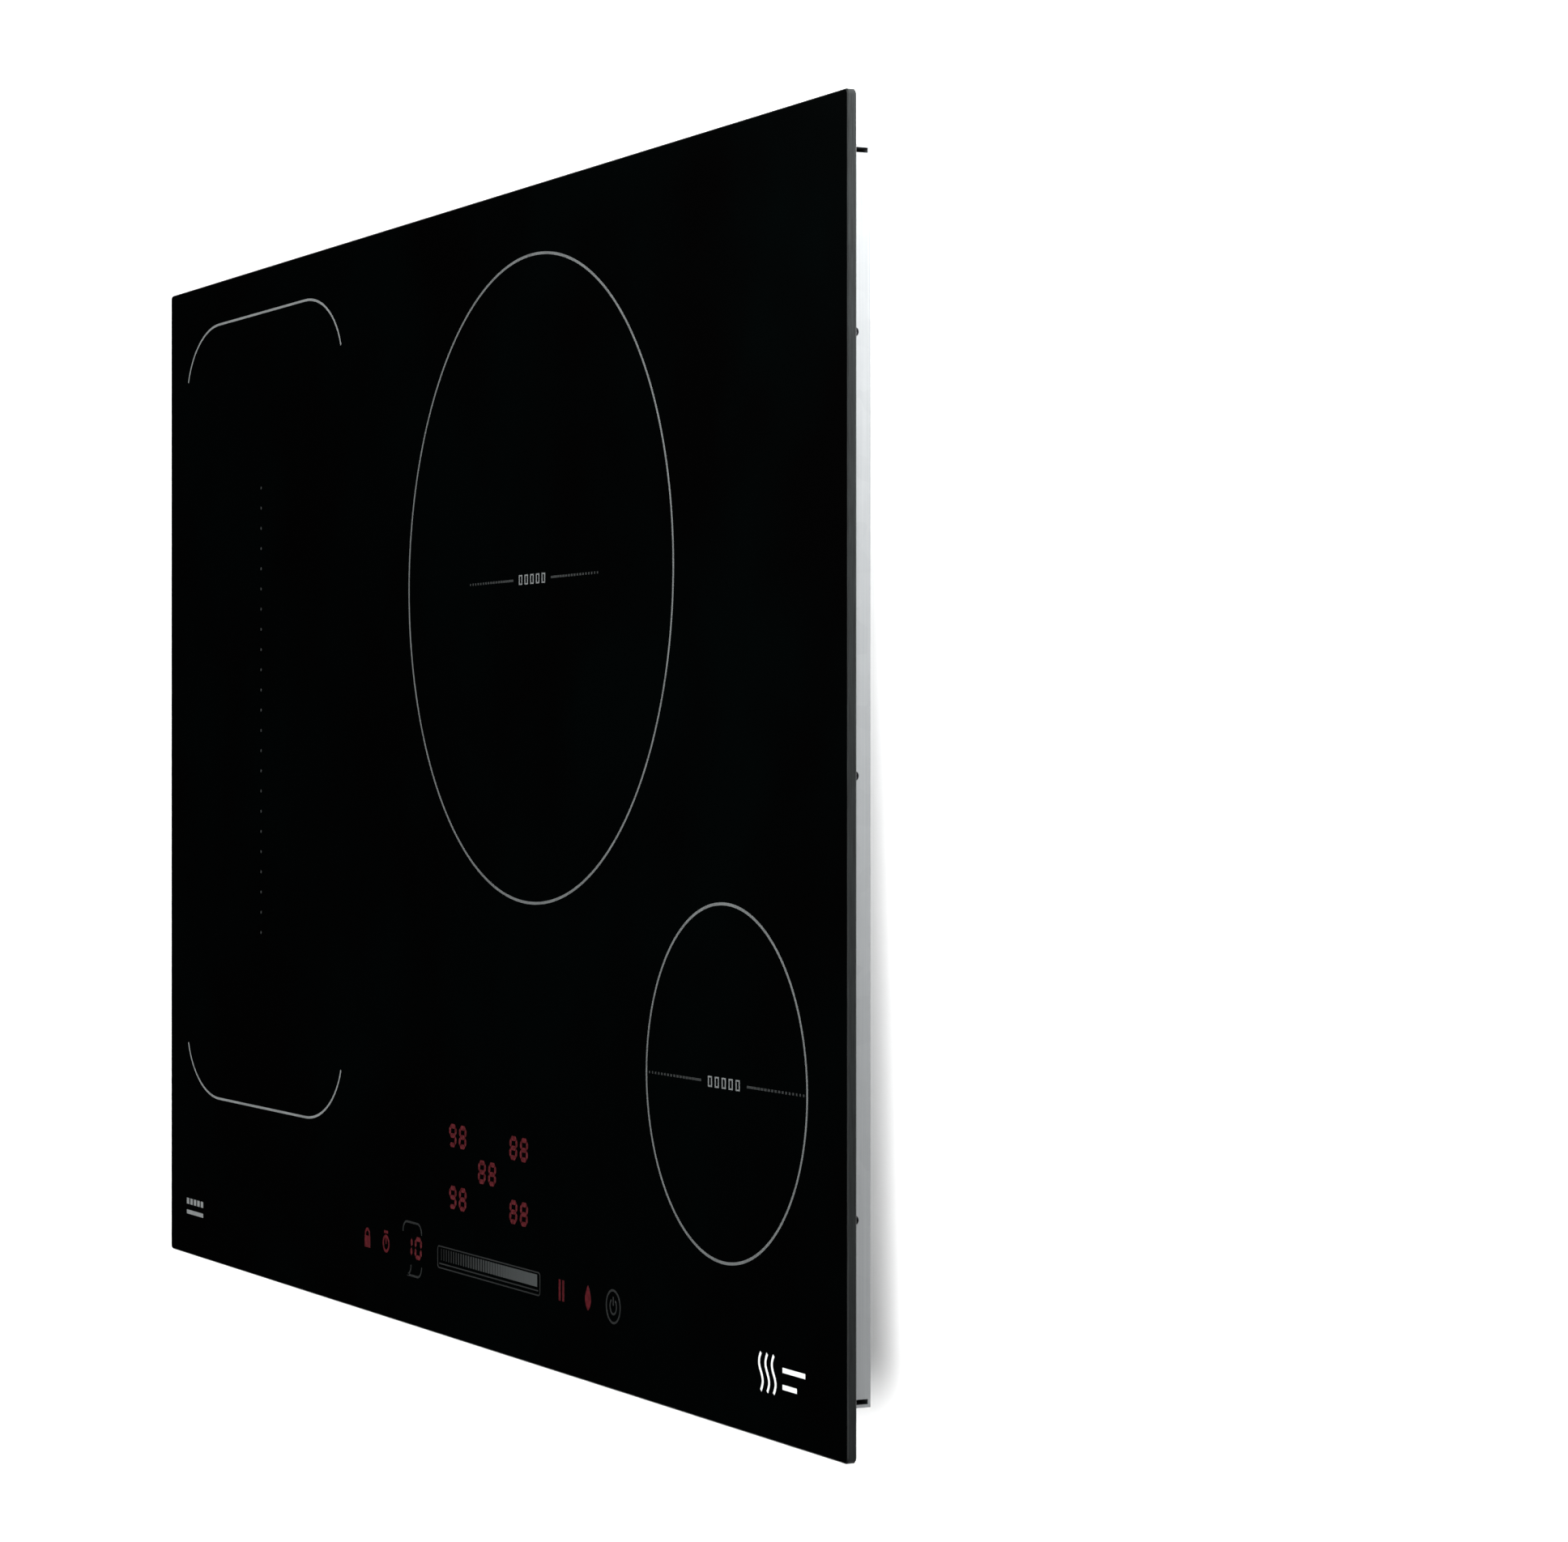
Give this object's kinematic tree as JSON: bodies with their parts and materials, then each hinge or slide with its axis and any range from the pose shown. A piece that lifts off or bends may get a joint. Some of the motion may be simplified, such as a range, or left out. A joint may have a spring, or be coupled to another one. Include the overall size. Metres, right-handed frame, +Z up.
{
  "type": "electric induction cooktop",
  "caption": "Built-in electric induction cooktop: black glass panel with ring and flexible cooking zones and touch controls, on a sheet-metal tray with a shallow black base housing.",
  "frame": {"origin": "middle of the footprint, on the plane of the feet under the base housing", "axes": "+X to the user's right along the glass, +Y to the rear edge, +Z up out of the glass"},
  "size_m": [0.78, 0.52, 0.057],
  "materials": {
    "black_glass": "polished black glass ceramic with printed cooking zones",
    "seal_foam": "closed-cell sealing foam",
    "dark_rail": "black powder-coated steel angle",
    "black_screw": "black-oxide pan head screws",
    "zinc_sheet": "zinc-coated sheet steel",
    "black_housing": "moulded black plastic with a fine texture",
    "steel_screw": "zinc-plated steel",
    "mica": "pressed mica sheet",
    "litz_copper": "enamelled copper litz wire",
    "carrier_plastic": "glass-filled plastic",
    "ferrite": "sintered ferrite",
    "sensor_ceramic": "white ceramic",
    "lead_sleeve": "silicone-sleeved litz leads",
    "circuit_board": "green solder resist on glass-fibre board",
    "sink_aluminium": "extruded aluminium",
    "fan_plastic": "dark moulded plastic",
    "motor_copper": "copper windings on a steel core",
    "chip_epoxy": "black epoxy packages",
    "capacitor_case": "film capacitor cases",
    "terminal_brass": "brass terminal screws",
    "wire_sleeve": "insulated wires",
    "display_lens": "dark red display windows",
    "touch_foam": "conductive foam pads",
    "ribbon": "grey flat cable"
  },
  "bodies": {
    "hob": {"glass_panel": "black_glass", "seal_front": "seal_foam", "seal_rear": "seal_foam", "rail_left": "dark_rail", "rail_right": "dark_rail", "rail_screws": "black_screw", "support_tray": "zinc_sheet", "base_housing": "black_housing", "terminal_cover": "black_housing", "base_screws": "steel_screw", "board_screws": "steel_screw", "coil_flex_rear_springs": "steel_screw", "coil_flex_front_springs": "steel_screw", "coil_large_springs": "steel_screw", "coil_small_springs": "steel_screw", "filter_choke": "litz_copper", "terminal_block": "sensor_ceramic", "coil_leads": "lead_sleeve", "power_board_left": "circuit_board", "power_board_right": "circuit_board", "filter_board": "circuit_board", "ui_board": "circuit_board", "heatsink_left": "sink_aluminium", "heatsink_right": "sink_aluminium", "fan_casing_left": "fan_plastic", "fan_casing_right": "fan_plastic", "ui_carrier": "fan_plastic", "fan_stator_left": "motor_copper", "fan_stator_right": "motor_copper", "power_transistors": "chip_epoxy", "rectifiers": "chip_epoxy", "bus_capacitors": "capacitor_case", "terminal_screws": "terminal_brass", "mains_wiring": "wire_sleeve", "ui_displays": "display_lens", "ui_touch_pads": "touch_foam", "ui_ribbon": "ribbon"},
    "coil_flex_rear": {"coil_flex_rear_mica": "mica", "coil_flex_rear_winding": "litz_copper", "coil_flex_rear_carrier": "carrier_plastic", "coil_flex_rear_ferrites": "ferrite", "coil_flex_rear_sensor": "sensor_ceramic"},
    "coil_flex_front": {"coil_flex_front_mica": "mica", "coil_flex_front_winding": "litz_copper", "coil_flex_front_carrier": "carrier_plastic", "coil_flex_front_ferrites": "ferrite", "coil_flex_front_sensor": "sensor_ceramic"},
    "coil_large": {"coil_large_mica": "mica", "coil_large_winding": "litz_copper", "coil_large_carrier": "carrier_plastic", "coil_large_ferrites": "ferrite", "coil_large_sensor": "sensor_ceramic"},
    "coil_small": {"coil_small_mica": "mica", "coil_small_winding": "litz_copper", "coil_small_carrier": "carrier_plastic", "coil_small_ferrites": "ferrite", "coil_small_sensor": "sensor_ceramic"},
    "fan_wheel_left": {"fan_wheel_left": "fan_plastic"},
    "fan_wheel_right": {"fan_wheel_right": "fan_plastic"}
  },
  "joints": [
    {"name": "coil_flex_rear_float", "type": "slide", "parent": "hob", "child": "coil_flex_rear", "axis": [0, 0, 1], "range_m": [-0.003, 0], "stiffness_N_per_m": 4000, "springref_m": 0.004, "deforming": ["coil_flex_rear_springs", "coil_leads"]},
    {"name": "coil_flex_front_float", "type": "slide", "parent": "hob", "child": "coil_flex_front", "axis": [0, 0, 1], "range_m": [-0.003, 0], "stiffness_N_per_m": 4000, "springref_m": 0.004, "deforming": ["coil_flex_front_springs"]},
    {"name": "coil_large_float", "type": "slide", "parent": "hob", "child": "coil_large", "axis": [0, 0, 1], "range_m": [-0.003, 0], "stiffness_N_per_m": 7500, "springref_m": 0.004, "deforming": ["coil_large_springs"]},
    {"name": "coil_small_float", "type": "slide", "parent": "hob", "child": "coil_small", "axis": [0, 0, 1], "range_m": [-0.003, 0], "stiffness_N_per_m": 2000, "springref_m": 0.004, "deforming": ["coil_small_springs"]},
    {"name": "fan_left_spin", "type": "hinge", "parent": "hob", "child": "fan_wheel_left", "pos_m": [-0.11, -0.092, 0.02], "axis": [0, 0, 1], "continuous": true},
    {"name": "fan_right_spin", "type": "hinge", "parent": "hob", "child": "fan_wheel_right", "pos_m": [0.11, -0.092, 0.02], "axis": [0, 0, 1], "continuous": true}
  ]
}
